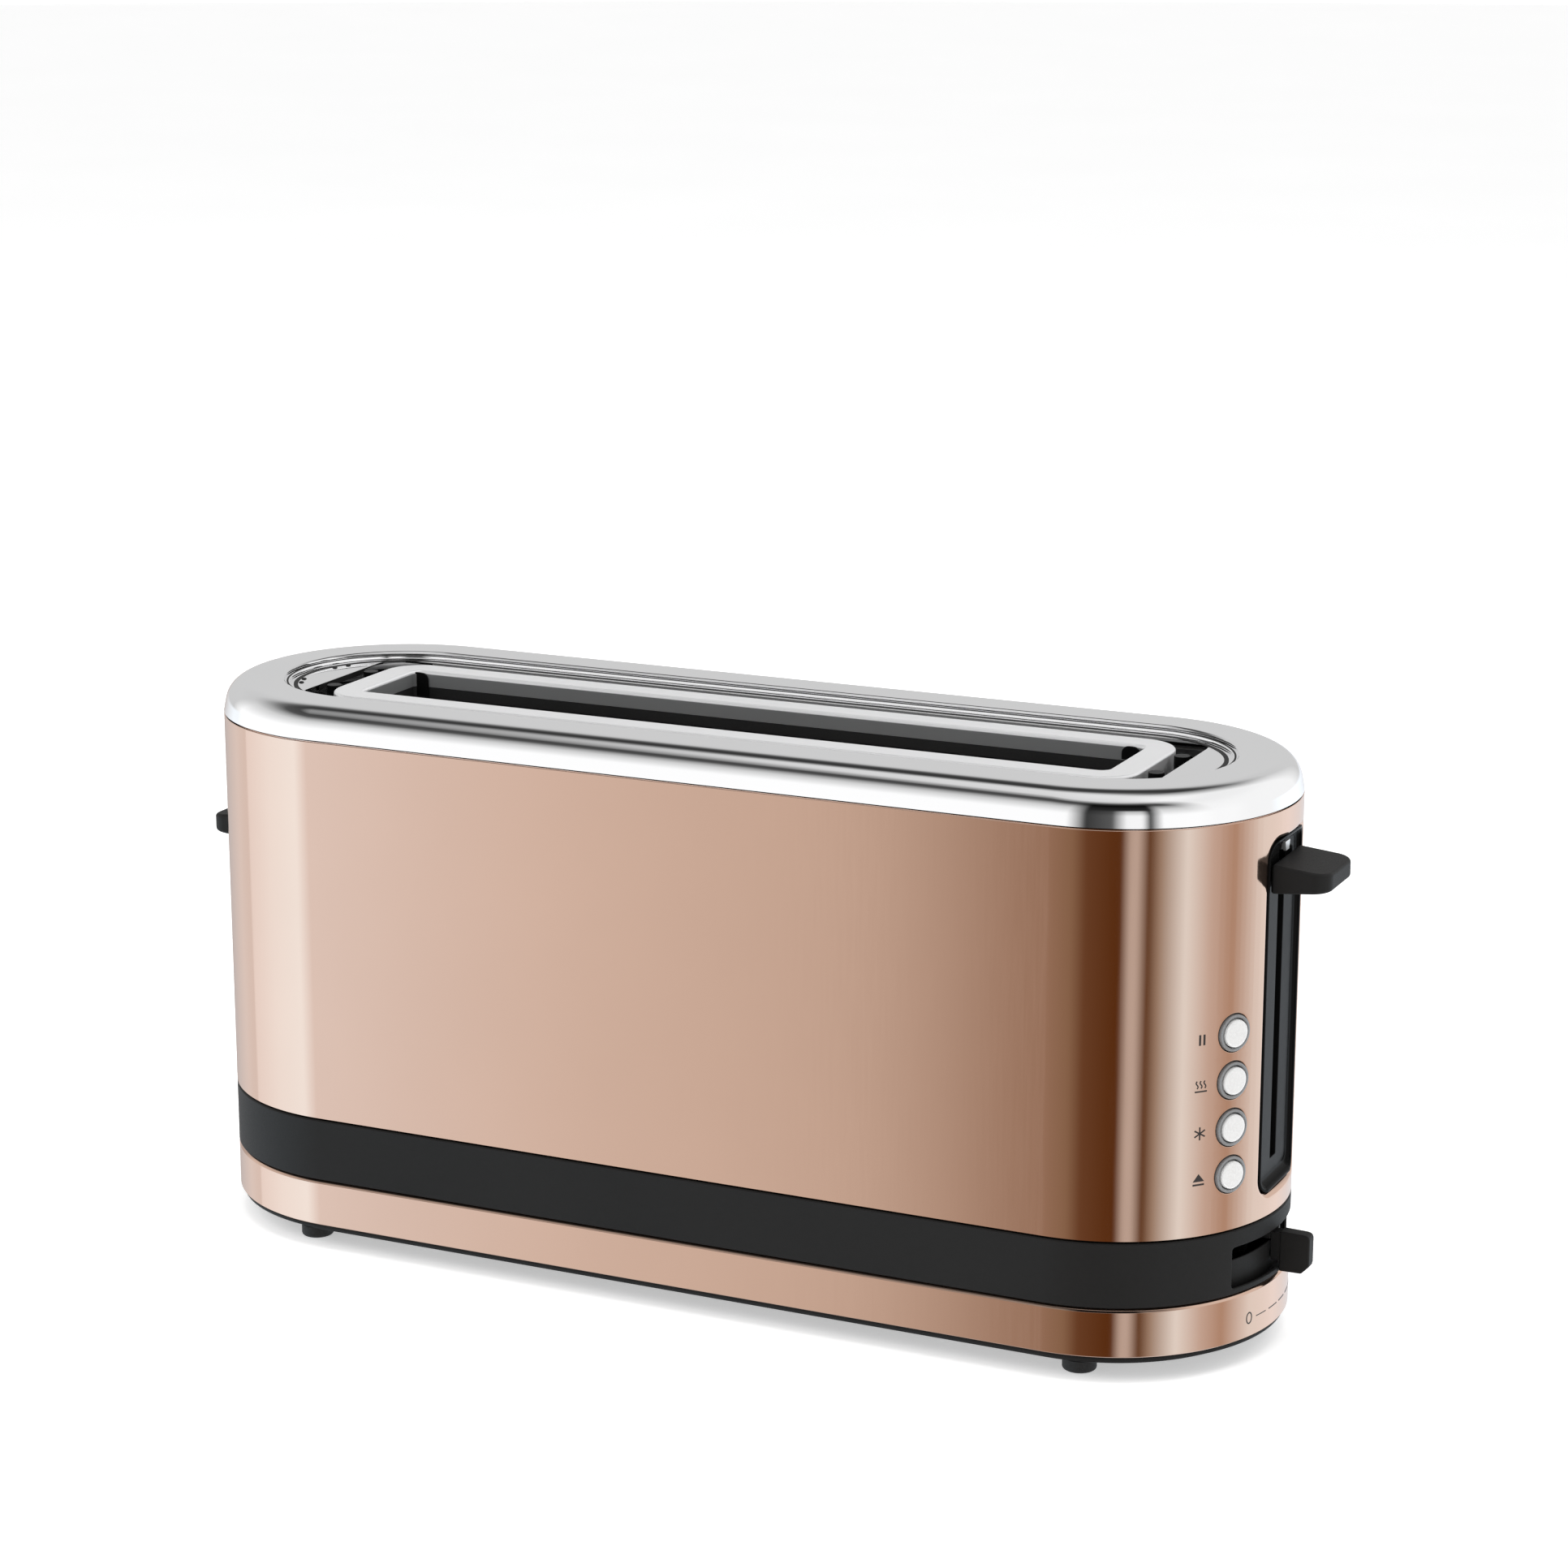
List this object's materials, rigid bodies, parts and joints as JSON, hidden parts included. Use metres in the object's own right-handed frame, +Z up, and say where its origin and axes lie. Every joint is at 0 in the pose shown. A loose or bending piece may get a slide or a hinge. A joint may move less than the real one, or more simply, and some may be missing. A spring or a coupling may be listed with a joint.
{
  "type": "pop up toaster",
  "caption": "Long-slot pop-up toaster with round ends, lift lever, raising bun-warmer ring, push buttons, curved browning slider and pull-out crumb tray.",
  "frame": {"origin": "on the table, under the middle of the body", "axes": "+X to the end with the lift lever and buttons, +Y to the back with the crumb tray, +Z up"},
  "size_m": [0.4108, 0.1176, 0.1888],
  "materials": {
    "copper_steel": "polished, copper coloured",
    "chrome_steel": "polished",
    "satin_steel": "satin",
    "plain_steel": "plain sheet",
    "dark_steel": "heat-resistant black",
    "matt_black": "fine matt grain",
    "gloss_black": "gloss",
    "rubber_black": "matt",
    "bezel_grey": "satin grey",
    "cap_white": "satin off-white",
    "nylon_white": "natural nylon",
    "mica_sheet": "pressed mica",
    "heating_wire": "oxidised ribbon",
    "board_green": "laminate",
    "coil_wire": "enamelled copper wire"
  },
  "bodies": {
    "housing": {"base_pan": "matt_black", "base_band": "matt_black", "lower_trim": "copper_steel", "outer_shell": "copper_steel", "top_cover": "chrome_steel", "lift_channel": "gloss_black", "warmer_channel": "gloss_black", "cable_gland": "rubber_black", "foot_front_left": "rubber_black", "foot_back_left": "rubber_black", "foot_front_right": "rubber_black", "foot_back_right": "rubber_black", "base_screw_front_left": "plain_steel", "base_screw_back_left": "plain_steel", "base_screw_front_right": "plain_steel", "base_screw_back_right": "plain_steel", "end_plate_right": "plain_steel", "end_plate_left": "plain_steel", "reflector_front": "plain_steel", "reflector_back": "plain_steel", "magnet_frame": "plain_steel", "pinion_bracket": "plain_steel", "board_stand": "plain_steel", "top_liner": "dark_steel", "guide_rod": "satin_steel", "return_spring": "satin_steel", "pinion_axle": "satin_steel", "heater_card_front": "mica_sheet", "heater_card_back": "mica_sheet", "heater_ribbon_front": "heating_wire", "heater_ribbon_back": "heating_wire", "magnet_coil": "coil_wire", "control_board": "board_green", "button_bezel_1": "bezel_grey", "button_bezel_2": "bezel_grey", "button_bezel_3": "bezel_grey", "button_bezel_4": "bezel_grey"},
    "carriage": {"bread_rack": "satin_steel", "lift_bracket": "plain_steel", "lift_knob": "matt_black", "armature_plate": "plain_steel"},
    "front_grille": {"grille_front": "satin_steel"},
    "back_grille": {"grille_back": "satin_steel"},
    "warmer": {"warmer_ring": "satin_steel", "warmer_guide_right": "plain_steel", "warmer_guide_left": "plain_steel"},
    "pinion": {"warmer_pinion": "nylon_white"},
    "warmer_handle": {"warmer_lever": "plain_steel", "warmer_knob": "matt_black"},
    "browning_control": {"browning_lever": "matt_black", "browning_tab": "matt_black"},
    "tray": {"crumb_tray": "plain_steel", "tray_handle": "matt_black"},
    "defrost_key": {"button_1": "cap_white"},
    "reheat_key": {"button_2": "cap_white"},
    "cold_key": {"button_3": "cap_white"},
    "eject_key": {"button_4": "cap_white"}
  },
  "joints": [
    {"name": "carriage_slide", "type": "slide", "parent": "housing", "child": "carriage", "axis": [0, 0, -1], "range_m": [0, 0.084], "stiffness_N_per_m": 60, "springref_m": -0.05, "deforming": ["return_spring"]},
    {"name": "front_grille_slide", "type": "slide", "parent": "housing", "child": "front_grille", "axis": [0, 1, 0], "range_m": [0, 0.005]},
    {"name": "back_grille_slide", "type": "slide", "parent": "housing", "child": "back_grille", "axis": [0, -1, 0], "range_m": [0, 0.005]},
    {"name": "warmer_slide", "type": "slide", "parent": "housing", "child": "warmer", "axis": [0, 0, 1], "range_m": [0, 0.028]},
    {"name": "pinion_spin", "type": "hinge", "parent": "housing", "child": "pinion", "pos_m": [-0.165, 0, 0.1075], "axis": [0, -1, 0], "range_deg": [0, 229.5]},
    {"name": "warmer_handle_slide", "type": "slide", "parent": "housing", "child": "warmer_handle", "axis": [0, 0, -1], "range_m": [0, 0.028]},
    {"name": "browning_turn", "type": "hinge", "parent": "housing", "child": "browning_control", "pos_m": [0.1312, 0, 0.03], "axis": [0, 0, 1], "range_deg": [-22, 22]},
    {"name": "tray_slide", "type": "slide", "parent": "housing", "child": "tray", "axis": [0, 1, 0], "range_m": [0, 0.08]},
    {"name": "defrost_press", "type": "slide", "parent": "housing", "child": "defrost_key", "axis": [-0.8625, 0.506, 0], "range_m": [0, 0.0015], "stiffness_N_per_m": 300, "springref_m": -0.001},
    {"name": "reheat_press", "type": "slide", "parent": "housing", "child": "reheat_key", "axis": [-0.8625, 0.506, 0], "range_m": [0, 0.0015], "stiffness_N_per_m": 300, "springref_m": -0.001},
    {"name": "cold_press", "type": "slide", "parent": "housing", "child": "cold_key", "axis": [-0.8625, 0.506, 0], "range_m": [0, 0.0015], "stiffness_N_per_m": 300, "springref_m": -0.001},
    {"name": "eject_press", "type": "slide", "parent": "housing", "child": "eject_key", "axis": [-0.8625, 0.506, 0], "range_m": [0, 0.0015], "stiffness_N_per_m": 300, "springref_m": -0.001}
  ],
  "couplings": [
    {"joint": "front_grille_slide", "follows": "carriage_slide", "ratio": 0.0595},
    {"joint": "back_grille_slide", "follows": "carriage_slide", "ratio": 0.0595},
    {"joint": "pinion_spin", "follows": "warmer_slide", "rad_per_m": 142.86},
    {"joint": "warmer_handle_slide", "follows": "warmer_slide", "ratio": 1}
  ]
}
